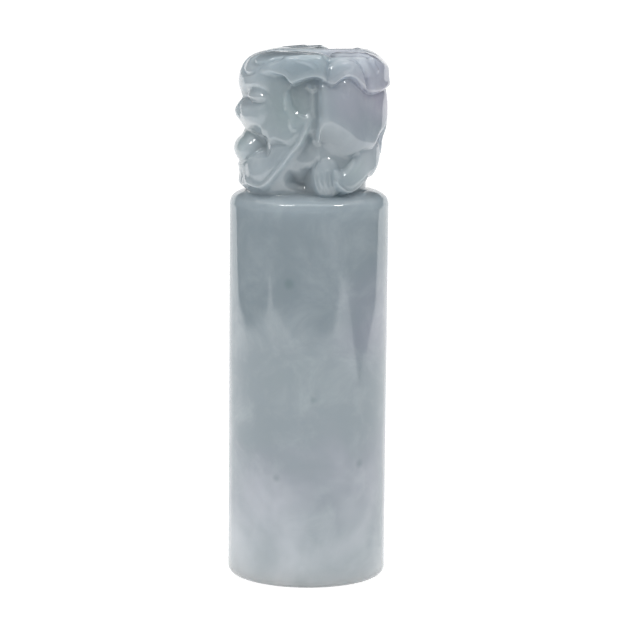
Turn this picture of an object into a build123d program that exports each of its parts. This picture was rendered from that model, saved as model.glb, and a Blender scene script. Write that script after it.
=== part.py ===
from build123d import *

import os
from math import cos, radians, sin

# A round name seal cut from one stick of polished jadeite, with a crouching beast carved at its top.
# The stick stands on its stamping face at z = 0 and its axis is Z. The beast faces -X, and its left
# flank is at -Y. It is carved inside the stick's own radius. Lengths are in millimetres.

# The stick
barrel_radius = 9.0
barrel_height = 43.7
foot_rounding = 0.8
shoulder_rise = 0.6
shoulder_flat_radius = 5.4
shoulder_fall = 1.0
shoulder_rounding = 0.7
face_depth = 1.0
face_border = 1.2

# The knob as a whole
knob_height = 16.3
crown_rounding = 1.4
crown_corner_rounding = 1.0

# The trunk, which the other forms are seated on: how deep the carver cut round it, and its waist
carving_depth = 2.8
trunk_waist_depth = 3.8
trunk_waist_height = 4.6
trunk_top_drop = 1.5
form_root_share = 0.30
form_root_width_share = 0.45

# How deep the top and the rim of each form lie below the stick's own surface
skull_top_depth = 0.9
skull_rim_depth = 0.7
snout_top_depth = 0.5
snout_rim_depth = 0.3
jaw_top_depth = 0.9
jaw_rim_depth = 0.4
tongue_top_depth = 0.75
tongue_rim_depth = 1.7
cheek_top_depth = 0.3
cheek_rim_depth = 1.1
jowl_top_depth = 0.3
jowl_rim_depth = 0.6
haunch_top_depth = 0.0
haunch_rim_depth = 0.7
shin_top_depth = 0.9
shin_rim_depth = 1.9
paw_top_depth = 0.5
paw_rim_depth = 1.5
toe_top_depth = 0.3
toe_rim_depth = 1.1
forepaw_top_depth = 1.6
forepaw_rim_depth = 2.4
lock_top_depth = 1.0
lock_rim_depth = 1.8
tail_top_depth = 0.0
tail_rim_depth = 1.4

# The eyes, each a ball in its socket
eye_radius = 0.8
eye_top_depth = 0.1
eye_socket_groove = 0.3
eye_turn = -41.0
eye_height_share = 0.70

# What repeats
toe_count = 3
toe_first_turn = 7.0
toe_pitch_turn = 5.4
lock_count = 3
lock_first_turn = -7.0
lock_pitch_turn = 9.5

# The turn about the axis that each form faces, in degrees: 0 at the left flank, 90 at the rump, -90 at
# the face
face_turn = -90.0
cheek_turn = -28.0
jowl_turn = -20.0
haunch_turn = 46.0
shin_turn = 57.0
paw_turn = 22.0
forepaw_turn = -3.0
rump_turn = 90.0

# The rings of a swelling form, from its rim to its top: how wide each is, and its share of the drop
ring_shares = [(1.00, 1.00), (0.92, 0.61), (0.72, 0.31), (0.40, 0.08)]

# Outlines on the stick's surface: a turn about the axis in degrees from where the form faces, and a
# height in shares of the knob's height. Forms on the beast's middle line give the left half
skull_outline_shares = [
    (0, 0.91),
    (24, 0.90),
    (44, 0.86),
    (53, 0.76),
    (51, 0.66),
    (42, 0.61),
    (24, 0.60),
    (0, 0.60),
]
snout_outline_shares = [
    (0, 0.68),
    (26, 0.66),
    (45, 0.59),
    (49, 0.52),
    (42, 0.45),
    (22, 0.43),
    (0, 0.43),
]
jaw_outline_shares = [
    (0, 0.29),
    (22, 0.30),
    (42, 0.32),
    (60, 0.29),
    (66, 0.16),
    (58, -0.02),
    (34, -0.07),
    (0, -0.08),
]
tongue_outline_shares = [
    (0, 0.44),
    (16, 0.41),
    (22, 0.33),
    (16, 0.26),
    (0, 0.24),
]
cheek_outline_shares = [
    (-9, 0.35),
    (4, 0.36),
    (15, 0.42),
    (18, 0.52),
    (12, 0.62),
    (9, 0.72),
    (-2, 0.77),
    (-12, 0.71),
    (-18, 0.59),
    (-15, 0.45),
]
jowl_outline_shares = [
    (-15, 0.08),
    (-5, 0.21),
    (6, 0.34),
    (14, 0.46),
    (20, 0.58),
    (24, 0.56),
    (22, 0.43),
    (15, 0.30),
    (6, 0.17),
    (-4, 0.05),
    (-12, -0.02),
]
haunch_outline_shares = [
    (-38, 0.56),
    (-35, 0.68),
    (-23, 0.75),
    (-6, 0.76),
    (12, 0.73),
    (30, 0.72),
    (38, 0.63),
    (36, 0.50),
    (24, 0.43),
    (7, 0.38),
    (-9, 0.35),
    (-24, 0.37),
    (-34, 0.45),
]
shin_outline_shares = [
    (-19, 0.35),
    (-4, 0.41),
    (12, 0.43),
    (22, 0.34),
    (20, 0.18),
    (9, 0.03),
    (-5, -0.06),
    (-17, -0.05),
    (-22, 0.08),
    (-22, 0.23),
]
paw_outline_shares = [
    (-16, 0.06),
    (-15, 0.18),
    (-8, 0.26),
    (4, 0.26),
    (15, 0.21),
    (20, 0.08),
    (14, -0.06),
    (0, -0.08),
    (-13, -0.06),
]
toe_outline_shares = [
    (-2.3, 0.03),
    (-2.2, 0.13),
    (0.0, 0.19),
    (2.2, 0.13),
    (2.3, 0.03),
    (0.0, -0.05),
]
forepaw_outline_shares = [
    (-7, -0.04),
    (-8, 0.10),
    (-4, 0.20),
    (2, 0.22),
    (7, 0.16),
    (7, 0.02),
    (3, -0.06),
]
lock_outline_shares = [
    (-4.0, 0.73),
    (-3.0, 0.82),
    (3.0, 0.82),
    (4.0, 0.73),
    (2.2, 0.61),
    (0.0, 0.54),
    (-2.2, 0.61),
]
tail_outline_shares = [
    (0, 0.30),
    (6, 0.34),
    (6, 0.56),
    (8, 0.74),
    (7, 0.90),
    (0, 1.02),
]

# The rim of the mane along the flank: across in shares of the stick's radius, up in shares of the
# knob's height
mane_rim_shares = [
    (-1.10, 0.78),
    (-0.84, 0.80),
    (-0.62, 0.90),
    (-0.42, 0.85),
    (-0.24, 0.80),
    (0.08, 0.84),
    (0.25, 0.80),
    (0.40, 0.83),
    (0.56, 0.83),
    (0.68, 0.76),
    (0.90, 0.78),
    (1.10, 0.80),
]

# The crown's forms seen from above, in shares of the stick's radius. The cap and the crest give
# their left half, and the curls are the left ones
cap_outline_shares = [
    (0.21, 0.00),
    (0.20, -0.50),
    (0.14, -0.86),
    (-0.06, -0.96),
    (-0.30, -0.93),
    (-0.52, -0.82),
    (-0.70, -0.62),
    (-0.82, -0.34),
    (-0.86, 0.00),
]
front_curl_outline_shares = [
    (0.25, -0.50),
    (0.26, -0.76),
    (0.40, -0.88),
    (0.56, -0.80),
    (0.65, -0.62),
    (0.57, -0.48),
    (0.40, -0.48),
]
rear_curl_outline_shares = [
    (0.66, -0.70),
    (0.84, -0.50),
    (0.96, -0.24),
    (0.96, -0.05),
    (0.78, -0.04),
    (0.62, -0.22),
    (0.58, -0.50),
]
crest_outline_shares = [
    (0.18, 0.00),
    (0.20, -0.34),
    (0.42, -0.42),
    (0.64, -0.32),
    (0.78, -0.14),
    (0.81, 0.00),
]

# The rings of a form on the crown, from its rim to its top: how wide each is, and its share of the
# crown's rounding below the top
crown_ring_shares = [(1.00, 1.00), (0.97, 0.55), (0.90, 0.18), (0.78, 0.00)]

# How far each of the crown's forms stays below the stick's end
cap_set_down = 0.0
front_curl_set_down = 0.8
rear_curl_set_down = 0.2
crest_set_down = 0.4

knob_top = barrel_height + knob_height
shoulder_top = barrel_height + shoulder_rise
shoulder_foot = shoulder_top - shoulder_fall
trunk_top = knob_top - trunk_top_drop
crown_foot = barrel_height + min(share for across, share in mane_rim_shares) * knob_height
face_radius = barrel_radius - face_border
trunk_radius = barrel_radius - carving_depth
trunk_waist_radius = barrel_radius - trunk_waist_depth
form_root_distance = trunk_radius * form_root_share
eye_distance = barrel_radius - eye_top_depth - eye_radius


def stick_plane(turn, distance):
    """The plane square to the stick's radius at a turn, at a distance from the axis."""
    outward = Vector(sin(radians(turn)), -cos(radians(turn)), 0)
    along = Vector(cos(radians(turn)), sin(radians(turn)), 0)
    return Plane(origin=outward * distance + Vector(0, 0, barrel_height), x_dir=along, z_dir=outward)


def on_stick(turn, height_share, distance):
    """The place at a turn about the axis, a height on the knob and a distance from the axis."""
    height = barrel_height + height_share * knob_height
    return (distance * sin(radians(turn)), -distance * cos(radians(turn)), height)


def whole_outline(left_half):
    """A closed outline on the stick from the half on the beast's left of its middle line."""
    return left_half + [(-step, share) for step, share in reversed(left_half) if step]


def whole_crown_outline(left_half):
    """A closed outline seen from above from the half on the beast's left of its middle line."""
    return left_half + [(across, -back) for across, back in reversed(left_half) if back]


def drawn_in(points, width):
    """An outline's points drawn in towards their middle."""
    middle_x = sum(x for x, y in points) / len(points)
    middle_y = sum(y for x, y in points) / len(points)
    return [(middle_x + (x - middle_x) * width, middle_y + (y - middle_y) * width) for x, y in points]


def swelling(outline, turn, top_depth, rim_depth):
    """A form that swells out of the trunk: a root that widens, and a dome through rings that draw in."""
    points = [(barrel_radius * sin(radians(step)), share * knob_height) for step, share in outline]
    half_turn = max(abs(step) for step, share in outline)
    top_distance = barrel_radius - top_depth
    rim_distance = barrel_radius * cos(radians(half_turn)) - rim_depth
    with BuildPart() as form:
        for width, distance in ((form_root_width_share, form_root_distance), (1, rim_distance)):
            with BuildSketch(stick_plane(turn, distance)):
                with BuildLine():
                    Spline(*drawn_in(points, width), periodic=True)
                make_face()
        loft(ruled=True)
        for width, drop in ring_shares:
            with BuildSketch(stick_plane(turn, top_distance - drop * (top_distance - rim_distance))):
                with BuildLine():
                    Spline(*drawn_in(points, width), periodic=True)
                make_face()
        loft()
    return form.part


def crown_form(outline, set_down):
    """A form on the crown: a straight foot, and a top that draws in to near the stick's end."""
    points = [(across * barrel_radius, back * barrel_radius) for across, back in outline]
    top_height = knob_top - set_down
    rim_height = top_height - crown_rounding
    with BuildPart() as form:
        with BuildSketch(Plane.XY.offset(rim_height)):
            with BuildLine():
                Spline(*points, periodic=True)
            make_face()
        extrude(amount=crown_foot - rim_height)
        for width, drop in crown_ring_shares:
            with BuildSketch(Plane.XY.offset(top_height - drop * crown_rounding)):
                with BuildLine():
                    Spline(*drawn_in(points, width), periodic=True)
                make_face()
        loft()
    return form.part


# The stick, with its domed shoulder and a recess in its foot for the stamping face
with BuildPart() as barrel:
    with BuildSketch(Plane.XZ) as half_section:
        with BuildLine():
            Line((0, 0), (barrel_radius, 0))
            wall = Line((barrel_radius, 0), (barrel_radius, shoulder_foot))
            TangentArc((shoulder_flat_radius, shoulder_top), wall @ 1, tangent=(1, 0))
            Polyline((shoulder_flat_radius, shoulder_top), (0, shoulder_top), (0, 0))
        make_face()
        outer_corners = half_section.vertices().sort_by(Axis.X)[-2:].sort_by(Axis.Y)
        fillet(outer_corners[0], foot_rounding)
        fillet(outer_corners[1], shoulder_rounding)
    revolve(axis=Axis.Z)
    with BuildSketch():
        Circle(face_radius)
    extrude(amount=face_depth, mode=Mode.SUBTRACT)

# The room that the carver has: the stick's own end, from the shoulder up
with BuildPart() as knob_room:
    with BuildSketch(Plane.XY.offset(shoulder_foot)):
        Circle(barrel_radius)
    extrude(amount=knob_top - shoulder_foot)
    fillet(knob_room.edges().group_by(Axis.Z)[-1], crown_corner_rounding)
    add(barrel.part, mode=Mode.SUBTRACT)

# Its half on the beast's left
with BuildPart() as left_room:
    add(knob_room.part)
    split(bisect_by=Plane.XZ)

# The room under the mane's scalloped rim, on both flanks
mane_rim = [(across * barrel_radius, barrel_height + up * knob_height) for across, up in mane_rim_shares]
with BuildPart() as under_rim:
    with BuildSketch(Plane.XZ):
        with BuildLine():
            rim = Spline(*mane_rim)
            Polyline(rim @ 1, ((rim @ 1).X, barrel_height), ((rim @ 0).X, barrel_height), rim @ 0)
        make_face()
    extrude(amount=barrel_radius, both=True)

# The layer of stone that the engraver works in, still blank
with BuildPart() as stamp_face:
    with BuildSketch():
        Circle(face_radius)
    extrude(amount=face_depth)

# The trunk, narrow at the belly
with BuildPart() as trunk:
    with BuildSketch(Plane.XZ):
        with BuildLine():
            foot = Line((0, shoulder_top), (trunk_waist_radius, shoulder_top))
            flare = Spline(
                foot @ 1,
                (trunk_radius, barrel_height + trunk_waist_height),
                tangents=((0, 1), (0, 1)),
            )
            flank = Line(flare @ 1, (trunk_radius, trunk_top))
            crown = Line(flank @ 1, (0, trunk_top))
            Line(crown @ 1, foot @ 0)
        make_face()
    revolve(axis=Axis.Z)

# The forms on the middle line of the face, from the brow down
skull_form = swelling(whole_outline(skull_outline_shares), face_turn, skull_top_depth, skull_rim_depth)
snout_form = swelling(whole_outline(snout_outline_shares), face_turn, snout_top_depth, snout_rim_depth)
jaw_form = swelling(whole_outline(jaw_outline_shares), face_turn, jaw_top_depth, jaw_rim_depth)
tongue_form = swelling(whole_outline(tongue_outline_shares), face_turn, tongue_top_depth, tongue_rim_depth)
tail_form = swelling(whole_outline(tail_outline_shares), rump_turn, tail_top_depth, tail_rim_depth)

# The forms of the left flank
cheek_form = swelling(cheek_outline_shares, cheek_turn, cheek_top_depth, cheek_rim_depth)
jowl_form = swelling(jowl_outline_shares, jowl_turn, jowl_top_depth, jowl_rim_depth)
haunch_form = swelling(haunch_outline_shares, haunch_turn, haunch_top_depth, haunch_rim_depth)
shin_form = swelling(shin_outline_shares, shin_turn, shin_top_depth, shin_rim_depth)
paw_form = swelling(paw_outline_shares, paw_turn, paw_top_depth, paw_rim_depth)
forepaw_form = swelling(forepaw_outline_shares, forepaw_turn, forepaw_top_depth, forepaw_rim_depth)
toe_forms = [
    swelling(toe_outline_shares, toe_first_turn + n * toe_pitch_turn, toe_top_depth, toe_rim_depth)
    for n in range(toe_count)
]
lock_forms = [
    swelling(lock_outline_shares, lock_first_turn + n * lock_pitch_turn, lock_top_depth, lock_rim_depth)
    for n in range(lock_count)
]

# The forms of the crown
cap_form = crown_form(whole_crown_outline(cap_outline_shares), cap_set_down)
front_curl_form = crown_form(front_curl_outline_shares, front_curl_set_down)
rear_curl_form = crown_form(rear_curl_outline_shares, rear_curl_set_down)
crest_form = crown_form(whole_crown_outline(crest_outline_shares), crest_set_down)

# The mane over the head, down to its scalloped rim
with BuildPart() as mane_cap:
    add(cap_form)
    add(knob_room.part, mode=Mode.INTERSECT)
    add([under_rim.part, trunk.part], mode=Mode.SUBTRACT)

# The mane's crest down the back
with BuildPart() as mane_crest:
    add(crest_form)
    add([trunk.part, mane_cap.part], mode=Mode.SUBTRACT)

# The tail, up the middle of the rump
with BuildPart() as tail:
    add(tail_form)
    add(knob_room.part, mode=Mode.INTERSECT)
    add([trunk.part, mane_cap.part, mane_crest.part], mode=Mode.SUBTRACT)

# The sockets of both eyes, a groove wider than the eyes
with BuildPart() as eye_sockets:
    with Locations(on_stick(eye_turn, eye_height_share, eye_distance)):
        Sphere(eye_radius + eye_socket_groove)
    mirror(about=Plane.XZ)

with BuildPart() as skull:
    add(skull_form)
    add(knob_room.part, mode=Mode.INTERSECT)
    add([trunk.part, mane_cap.part, eye_sockets.part], mode=Mode.SUBTRACT)

with BuildPart() as snout:
    add(snout_form)
    add(knob_room.part, mode=Mode.INTERSECT)
    add([trunk.part, skull.part, eye_sockets.part], mode=Mode.SUBTRACT)

with BuildPart() as lower_jaw:
    add(jaw_form)
    add(knob_room.part, mode=Mode.INTERSECT)
    add([trunk.part, snout.part], mode=Mode.SUBTRACT)

with BuildPart() as tongue:
    add(tongue_form)
    add([trunk.part, snout.part, lower_jaw.part], mode=Mode.SUBTRACT)

head_pieces = [skull.part, snout.part, lower_jaw.part, mane_cap.part]

with BuildPart() as left_eye:
    with Locations(on_stick(eye_turn, eye_height_share, eye_distance)):
        Sphere(eye_radius)
    add([trunk.part, mane_cap.part], mode=Mode.SUBTRACT)

with BuildPart() as left_cheek:
    add(cheek_form)
    add(left_room.part, mode=Mode.INTERSECT)
    add([trunk.part, eye_sockets.part, *head_pieces], mode=Mode.SUBTRACT)

# The ridge that runs from the jaw up behind the cheek
with BuildPart() as left_jowl:
    add(jowl_form)
    add(left_room.part, mode=Mode.INTERSECT)
    add([trunk.part, left_cheek.part, *head_pieces], mode=Mode.SUBTRACT)

with BuildPart() as left_haunch:
    add(haunch_form)
    add(left_room.part, mode=Mode.INTERSECT)
    add([trunk.part, tail.part, mane_cap.part, mane_crest.part], mode=Mode.SUBTRACT)
    add([left_cheek.part, left_jowl.part], mode=Mode.SUBTRACT)

# The hind leg: a shin under the haunch, and a paw with its toes forward of it
with BuildPart() as left_hind_leg:
    add([shin_form, paw_form, *toe_forms])
    add(left_room.part, mode=Mode.INTERSECT)
    add([trunk.part, tail.part, left_haunch.part, left_jowl.part], mode=Mode.SUBTRACT)

with BuildPart() as left_forepaw:
    add(forepaw_form)
    add(left_room.part, mode=Mode.INTERSECT)
    add([trunk.part, lower_jaw.part, left_jowl.part, left_hind_leg.part], mode=Mode.SUBTRACT)

# The locks that hang from the rim behind the cheek
with BuildPart() as left_mane_locks:
    add(lock_forms)
    add([trunk.part, mane_cap.part, left_cheek.part, left_jowl.part, left_haunch.part], mode=Mode.SUBTRACT)

with BuildPart() as left_front_curl:
    add(front_curl_form)
    add(left_room.part, mode=Mode.INTERSECT)
    add([under_rim.part, trunk.part, tail.part, mane_cap.part, mane_crest.part], mode=Mode.SUBTRACT)
    add([left_haunch.part, left_mane_locks.part], mode=Mode.SUBTRACT)

with BuildPart() as left_rear_curl:
    add(rear_curl_form)
    add(left_room.part, mode=Mode.INTERSECT)
    add([under_rim.part, trunk.part, tail.part, mane_crest.part], mode=Mode.SUBTRACT)
    add([left_haunch.part, left_front_curl.part], mode=Mode.SUBTRACT)

middle_pieces = {
    "barrel": barrel,
    "stamp_face": stamp_face,
    "trunk": trunk,
    "skull": skull,
    "snout": snout,
    "lower_jaw": lower_jaw,
    "tongue": tongue,
    "mane_cap": mane_cap,
    "mane_crest": mane_crest,
    "tail": tail,
}
flank_pieces = {
    "cheek": left_cheek,
    "jowl": left_jowl,
    "eye": left_eye,
    "haunch": left_haunch,
    "hind_leg": left_hind_leg,
    "forepaw": left_forepaw,
    "mane_locks": left_mane_locks,
    "front_curl": left_front_curl,
    "rear_curl": left_rear_curl,
}

os.makedirs("parts", exist_ok=True)
for name, piece in middle_pieces.items():
    piece.part.label = name
    export_step(piece.part, f"parts/{name}.step")
for name, piece in flank_pieces.items():
    piece.part.label = f"left_{name}"
    export_step(piece.part, f"parts/left_{name}.step")
    with BuildPart() as right_piece:
        mirror(piece.part, about=Plane.XZ)
    right_piece.part.label = f"right_{name}"
    export_step(right_piece.part, f"parts/right_{name}.step")
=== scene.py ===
import math

import bpy
import numpy as np
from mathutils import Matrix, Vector


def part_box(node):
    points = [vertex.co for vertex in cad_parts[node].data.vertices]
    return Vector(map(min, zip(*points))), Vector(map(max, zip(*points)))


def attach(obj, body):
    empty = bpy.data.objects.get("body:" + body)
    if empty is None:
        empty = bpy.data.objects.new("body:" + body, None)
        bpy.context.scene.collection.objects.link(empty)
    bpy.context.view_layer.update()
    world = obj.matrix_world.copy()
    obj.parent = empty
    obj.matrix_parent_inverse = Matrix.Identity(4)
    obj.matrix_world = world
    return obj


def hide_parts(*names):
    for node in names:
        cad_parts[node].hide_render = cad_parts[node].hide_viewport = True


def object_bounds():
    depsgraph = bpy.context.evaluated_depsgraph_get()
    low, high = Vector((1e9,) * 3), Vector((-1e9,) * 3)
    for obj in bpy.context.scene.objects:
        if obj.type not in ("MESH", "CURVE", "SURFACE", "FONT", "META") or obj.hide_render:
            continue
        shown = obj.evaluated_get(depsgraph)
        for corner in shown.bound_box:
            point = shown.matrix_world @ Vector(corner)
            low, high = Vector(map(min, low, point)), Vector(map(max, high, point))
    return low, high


bl_info = {
    "name": "Carved seal stamp",
    "version": (1, 0, 0),
    "blender": (4, 5, 0),
    "location": "View3D > Sidebar > Seal stamp",
    "description": "Carves and polishes a round stone seal with a crouching beast at its top",
    "category": "Object",
}

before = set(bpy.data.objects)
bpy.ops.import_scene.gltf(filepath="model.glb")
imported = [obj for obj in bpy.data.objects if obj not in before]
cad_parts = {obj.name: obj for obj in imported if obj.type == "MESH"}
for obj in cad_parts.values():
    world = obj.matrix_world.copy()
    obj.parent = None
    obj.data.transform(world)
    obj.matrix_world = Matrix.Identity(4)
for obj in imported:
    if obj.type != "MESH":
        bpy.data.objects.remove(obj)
CAD_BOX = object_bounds()
MM = 0.001

# The stick's sizes in millimetres, from the frame
BARREL_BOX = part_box("barrel")
FACE_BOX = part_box("stamp_face")
RADIUS = (BARREL_BOX[1][0] - BARREL_BOX[0][0]) / 2 / MM
SHOULDER_RISE = 0.6
SHOULDER = BARREL_BOX[1][2] / MM - SHOULDER_RISE
KNOB = CAD_BOX[1][2] / MM - SHOULDER
FACE_RADIUS = (FACE_BOX[1][0] - FACE_BOX[0][0]) / 2 / MM
FACE_DEPTH = FACE_BOX[1][2] / MM
STONE_NODES = [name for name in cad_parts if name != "stamp_face"]

# How finely the carving is worked out, in millimetres: the grid's step and how far it starts below the
# shoulder, and the step and the overhang of the sheets for the top and the face
GRID_STEP = 0.11
GRID_START = 1.9
GRID_MARGIN = 3 * GRID_STEP
SHEET_STEP = 0.15
OVERHANG = 1.0
ARC_STEPS = 361
CURVE_STEPS = 5
ROUNDING_STEPS = 8

# A distance past all others, a length too short to divide by, and how far a sheet is read short of its
# last place, in its own steps
FAR = 1e9
TINY = 1e-9
INSIDE_LAST = 0.001

# The middle of the back, as an arc length from the middle of the face
BACK_ARC = 28.275

# The depths that the carving starts from in millimetres: between the forms, on the mane and on the top
BETWEEN_DEPTH = 2.6
MANE_DEPTH = 0.75
TOP_DEPTH = 0.6

# How steep the wall of a cut is, to what share of its reach a bevel fades out, and over what share of its
# length it runs out at each end
CUT_WALL = 3
BEVEL_FADE = 1.3
LINE_END = 0.08

# How the grid's stair steps are evened out: the rounds, the draw and how much further it goes back
RELAX_TIMES = 6
RELAX_DRAW = 0.5
RELAX_BACK = 1.04

# The camera at the photograph's angle: its place in metres, and its dip and roll in radians
CAMERA_PLACE = (0.00088, -0.320, 0.0811)
CAMERA_DIP = 0.1608
CAMERA_ROLL = 0.009

# The dark card that the polish reflects: its distance and top in millimetres, its finish, and its lower
# edge as a bearing from the front in degrees and a height, with the step in degrees between its points
CARD_REACH = 130
CARD_TOP = 170
CARD_STEP = 2.0
CARD_COLOUR = (0.03, 0.03, 0.035, 1)
CARD_ROUGHNESS = 0.9
CARD_EDGE = [
    (-180, 75), (-140, 68), (-128, 30), (-120, 15), (-109, 10.8), (-92, 9.6), (-74, 10.8), (-62, 12.5),
    (-57, 16.5), (-54, 16.5), (-49, 12.5), (-42, 11.4), (-30, 10.2), (-14, 9.2), (2, 8.8), (18, 8.9),
    (34, 9.6), (41, 12), (46, 15.5), (53, 15.5), (59, 12.5), (66, 8), (75, 1.4), (88, 4.5), (102, 9),
    (113, 14), (122, 30), (140, 68), (180, 75),
]


def smooth_min(a, b, blend):
    """The lower of two surfaces, with the corner between them rounded over a width."""
    mix = np.clip(0.5 + 0.5 * (b - a) / blend, 0, 1)
    return b + (a - b) * mix - blend * mix * (1 - mix)


def smooth_max(a, b, blend):
    return -smooth_min(-a, -b, blend)


def ease(value, low, high):
    """0 below low, 1 above high and an even curve between."""
    t = np.clip((value - low) / (high - low), 0, 1)
    return t * t * (3 - 2 * t)


def smooth_curve(x, points):
    """A smooth curve through given points, taken at x."""
    points = np.array(points, float)
    slopes = np.gradient(points[:, 1], points[:, 0])
    cell = np.clip(np.searchsorted(points[:, 0], x) - 1, 0, len(points) - 2)
    width = points[cell + 1, 0] - points[cell, 0]
    t = np.clip((x - points[cell, 0]) / width, 0, 1)
    return (
        (2 * t**3 - 3 * t**2 + 1) * points[cell, 1]
        + (t**3 - 2 * t**2 + t) * width * slopes[cell]
        + (3 * t**2 - 2 * t**3) * points[cell + 1, 1]
        + (t**3 - t**2) * width * slopes[cell + 1]
    )


def rounded(points, closed):
    """A smooth line through given points, as a close run of short legs."""
    points = np.array(points, float)
    if closed:
        before, here, after, next_after = (np.roll(points, n, axis=0) for n in (1, 0, -1, -2))
    else:
        padded = np.concatenate([points[:1], points, points[-1:]])
        before, here, after, next_after = padded[:-3], padded[1:-2], padded[2:-1], padded[3:]
    shares = np.arange(CURVE_STEPS) / CURVE_STEPS
    legs = []
    for t in shares:
        leg = 2 * here + (after - before) * t
        leg += (2 * before - 5 * here + 4 * after - next_after) * t**2
        leg += (3 * here - before - 3 * after + next_after) * t**3
        legs.append(0.5 * leg)
    line = np.stack(legs, axis=1).reshape(-1, 2)
    return line if closed else np.concatenate([line, points[-1:]])


def on_flank(points):
    """Places across the flank as seen from the side, turned into arc lengths from the face."""
    return [(RADIUS * math.acos(max(-1, min(1, -x / RADIUS))), up) for x, up in points]


def across_face(points):
    """An outline that crosses the front: places on one flank, and the same ones on the other."""
    near = on_flank(points)
    return near + [(-arc, up) for arc, up in reversed(near)]


class Relief:
    """How deep the carving lies, over a flat sheet of places.

    Forms are pressed out of it or cut into it.
    """

    def __init__(self, across, along, depth):
        self.across, self.along = np.meshgrid(across, along, indexing="ij")
        self.depth = np.full(self.across.shape, float(depth))

    def gap(self, points, closed):
        """How far each place is from a line, and how far along the line its nearest point is."""
        line = rounded(points, closed)
        ends = np.roll(line, -1, axis=0) if closed else line[1:]
        starts = line if closed else line[:-1]
        nearest = np.full(self.depth.shape, FAR)
        reached = np.zeros(self.depth.shape)
        side = np.ones(self.depth.shape)
        inside = np.zeros(self.depth.shape, bool)
        total = np.hypot(*(ends - starts).T).sum()
        gone = 0
        for start, end in zip(starts, ends):
            leg = end - start
            length = max(math.hypot(*leg), TINY)
            across, along = self.across - start[0], self.along - start[1]
            t = np.clip((across * leg[0] + along * leg[1]) / length**2, 0, 1)
            here = np.hypot(across - t * leg[0], along - t * leg[1])
            closer = here < nearest
            nearest = np.where(closer, here, nearest)
            reached = np.where(closer, (gone + t * length) / total, reached)
            side = np.where(closer, np.sign(leg[0] * along - leg[1] * across), side)
            gone += length
            if closed and abs(leg[1]) > TINY:
                level = (self.along >= min(start[1], end[1])) & (self.along < max(start[1], end[1]))
                inside ^= level & (across < along * leg[0] / leg[1])
        if closed:
            return np.where(inside, nearest, -nearest), reached
        return nearest * side, reached

    def swell(self, outline, top, rim, width, lean=(0, 0), drop=2.5, blend=0.25):
        """Presses a form out: top is its depth inside, rim its depth at the edge, lean its tilt."""
        inner = self.gap(outline, True)[0]
        middle = np.mean(outline, axis=0)
        rise = 1 - (1 - np.clip(inner / width, 0, 1)) ** 2
        surface = rim + (top - rim) * rise + drop * np.maximum(-inner, 0)
        surface += lean[0] * (self.across - middle[0]) + lean[1] * (self.along - middle[1])
        self.depth = smooth_min(self.depth, surface, blend)

    def sink(self, outline, depth, width, lean=(0, 0), blend=0.25):
        """Cuts a form in, down to a depth."""
        inner = self.gap(outline, True)[0]
        middle = np.mean(outline, axis=0)
        fall = 1 - (1 - np.clip(inner / width, 0, 1)) ** 2
        tilt = lean[0] * (self.across - middle[0]) + lean[1] * (self.along - middle[1])
        surface = (depth + tilt) * fall - CUT_WALL * np.maximum(-inner, 0)
        self.depth = smooth_max(self.depth, surface, blend)

    def bevel(self, line, start, slope, reach, blend=0.12):
        """Cuts a slanted facet on the right of a line, from a depth at the line downwards."""
        gap, reached = self.gap(line, False)
        ends = ease(reached, 0, LINE_END) * (1 - ease(reached, 1 - LINE_END, 1))
        there = (gap < 0) * ends * (1 - ease(-gap, reach, reach * BEVEL_FADE))
        surface = start + slope * -gap
        self.depth = np.where(there > 0, smooth_max(self.depth, surface * there, blend), self.depth)

    def ridge(self, line, height, width, taper=0.15):
        """Raises a rounded ridge along a line. A negative height cuts a groove."""
        gap, reached = self.gap(line, False)
        ends = 1
        if taper:
            ends = ease(reached, 0, taper) * (1 - ease(reached, 1 - taper, 1))
        self.depth = self.depth - height * ends * np.exp(-((gap / width) ** 2))


# The outlines of the head and the rump in the side view: up from the shoulder, out from the axis
FACE_LINE = [
    (-0.4, 7.8), (0.4, 7.65), (1.6, 7.7), (2.4, 7.57), (3.3, 7.87), (4.5, 8.35), (5.3, 8.45), (6.0, 8.1),
    (6.7, 7.3), (7.0, 7.35), (7.7, 7.9), (8.4, 8.36), (9.0, 8.24), (10.2, 7.66), (10.8, 7.2),
    (11.4, 7.35), (12.4, 7.66), (13.3, 7.62), (14.1, 7.4), (14.8, 7.0), (15.4, 6.4), (15.8, 5.6),
    (16.1, 4.5), (16.6, 2.0),
]
RUMP_LINE = [
    (-0.4, 6.9), (0.3, 6.9), (1.0, 7.1), (1.7, 7.5), (2.7, 7.7), (3.8, 7.95), (5.3, 8.1), (6.5, 8.25),
    (7.4, 8.6), (8.6, 9.0), (11.4, 9.05), (12.0, 8.88), (12.6, 9.05), (14.0, 9.0), (14.9, 8.4),
    (15.8, 7.3), (16.5, 5.6),
]

# The mane's rim on the flank: across the stick from its axis, and up from the shoulder
MANE_RIM = [
    (-9.0, 15.2), (-6.4, 15.0), (-5.2, 14.1), (-3.9, 13.9), (-2.7, 13.6), (-2.2, 13.0), (-1.3, 13.2),
    (-0.2, 13.6), (1.0, 13.6), (1.8, 13.1), (2.8, 12.9), (3.4, 13.4), (4.1, 13.7), (5.0, 13.5),
    (5.7, 12.8), (6.3, 12.1), (7.2, 11.8), (7.9, 11.9), (9.0, 12.3),
]

# The step at the rim: the cut under it with its reach downwards and its rounding, the bead along it with
# its height over the rim and its width, and where along the flank both come in
RIM_CUT = 0.72
RIM_CUT_REACH = 0.9
RIM_CORNER = 0.4
BEAD = 0.14
BEAD_UP = 0.35
BEAD_WIDTH = 0.36
RIM_STRETCH = (-5.6, -3.6)

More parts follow.
